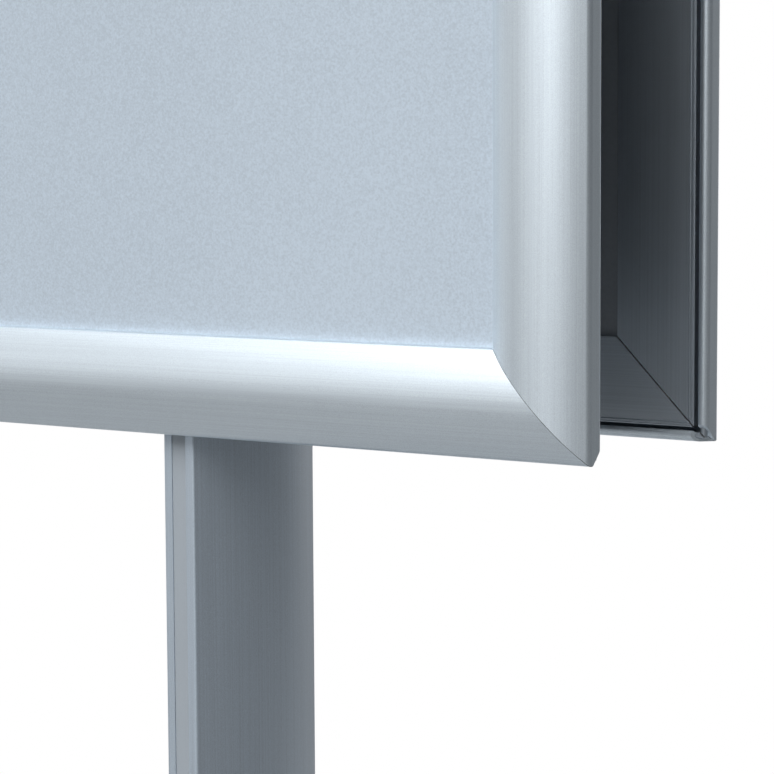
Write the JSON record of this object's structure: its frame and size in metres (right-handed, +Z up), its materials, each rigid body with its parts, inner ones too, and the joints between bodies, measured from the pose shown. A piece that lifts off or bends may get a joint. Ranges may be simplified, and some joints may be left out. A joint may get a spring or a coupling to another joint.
{
  "type": "poster stand",
  "caption": "Double-sided A4 poster stand: two portrait snap frames back to back on a slotted, bowed column, standing on a weighted steel base plate.",
  "frame": {"origin": "middle of the footprint, on the floor", "axes": "+Z up along the column; the front frame faces -Y; +X is to the right of a person who faces it"},
  "size_m": [0.36, 0.28, 1.25],
  "materials": {
    "anodised": "satin, natural anodised",
    "anodised_face": "satin, natural anodised, fine lines along the length",
    "powder_coat": "silver-grey fine-textured powder coat",
    "zinc_steel": "zinc-plated",
    "spring_steel": "hardened, dull",
    "panel_plastic": "matt back panel",
    "cover_film": "pale grey-blue, fine anti-glare texture",
    "slot_plastic": "silver-grey, satin",
    "cap_plastic": "fine matt",
    "rubber": "matt"
  },
  "bodies": {
    "stand": {"base_plate": "powder_coat", "rubber_feet": "rubber", "column_bolts": "zinc_steel", "column": "anodised", "column_cap": "cap_plastic", "front_slot_cover": "slot_plastic", "rear_slot_cover": "slot_plastic", "front_top_rail": "anodised", "front_top_springs": "spring_steel", "front_bottom_rail": "anodised", "front_bottom_springs": "spring_steel", "front_left_rail": "anodised", "front_left_springs": "spring_steel", "front_right_rail": "anodised", "front_right_springs": "spring_steel", "front_corner_angles": "zinc_steel", "front_back_panel": "panel_plastic", "front_cover_sheet": "cover_film", "front_panel_spacers": "zinc_steel", "front_panel_bolts": "zinc_steel", "front_slot_nuts": "zinc_steel", "rear_top_rail": "anodised", "rear_top_springs": "spring_steel", "rear_bottom_rail": "anodised", "rear_bottom_springs": "spring_steel", "rear_left_rail": "anodised", "rear_left_springs": "spring_steel", "rear_right_rail": "anodised", "rear_right_springs": "spring_steel", "rear_corner_angles": "zinc_steel", "rear_back_panel": "panel_plastic", "rear_cover_sheet": "cover_film", "rear_panel_spacers": "zinc_steel", "rear_panel_bolts": "zinc_steel", "rear_slot_nuts": "zinc_steel"},
    "front_top_lid": {"front_top_lid": "anodised_face"},
    "front_bottom_lid": {"front_bottom_lid": "anodised_face"},
    "front_left_lid": {"front_left_lid": "anodised_face"},
    "front_right_lid": {"front_right_lid": "anodised_face"},
    "rear_top_lid": {"rear_top_lid": "anodised_face"},
    "rear_bottom_lid": {"rear_bottom_lid": "anodised_face"},
    "rear_left_lid": {"rear_left_lid": "anodised_face"},
    "rear_right_lid": {"rear_right_lid": "anodised_face"}
  },
  "joints": [
    {"name": "front_right_hinge", "type": "hinge", "parent": "stand", "child": "front_right_lid", "pos_m": [0.11945, -0.02655, 1.0855], "axis": [0, 0, 1], "range_deg": [0, 90], "deforming": ["front_right_springs"]},
    {"name": "front_left_hinge", "type": "hinge", "parent": "stand", "child": "front_left_lid", "pos_m": [-0.11945, -0.02655, 1.0855], "axis": [0, 0, -1], "range_deg": [0, 90], "deforming": ["front_left_springs"]},
    {"name": "front_top_hinge", "type": "hinge", "parent": "stand", "child": "front_top_lid", "pos_m": [0, -0.02655, 1.24845], "axis": [-1, 0, 0], "range_deg": [0, 90], "deforming": ["front_top_springs"]},
    {"name": "front_bottom_hinge", "type": "hinge", "parent": "stand", "child": "front_bottom_lid", "pos_m": [0, -0.02655, 0.92255], "axis": [1, 0, 0], "range_deg": [0, 90], "deforming": ["front_bottom_springs"]},
    {"name": "rear_right_hinge", "type": "hinge", "parent": "stand", "child": "rear_right_lid", "pos_m": [-0.11945, 0.02655, 1.0855], "axis": [0, 0, 1], "range_deg": [0, 90], "deforming": ["rear_right_springs"]},
    {"name": "rear_left_hinge", "type": "hinge", "parent": "stand", "child": "rear_left_lid", "pos_m": [0.11945, 0.02655, 1.0855], "axis": [0, 0, -1], "range_deg": [0, 90], "deforming": ["rear_left_springs"]},
    {"name": "rear_top_hinge", "type": "hinge", "parent": "stand", "child": "rear_top_lid", "pos_m": [0, 0.02655, 1.24845], "axis": [1, 0, 0], "range_deg": [0, 90], "deforming": ["rear_top_springs"]},
    {"name": "rear_bottom_hinge", "type": "hinge", "parent": "stand", "child": "rear_bottom_lid", "pos_m": [0, 0.02655, 0.92255], "axis": [-1, 0, 0], "range_deg": [0, 90], "deforming": ["rear_bottom_springs"]}
  ]
}
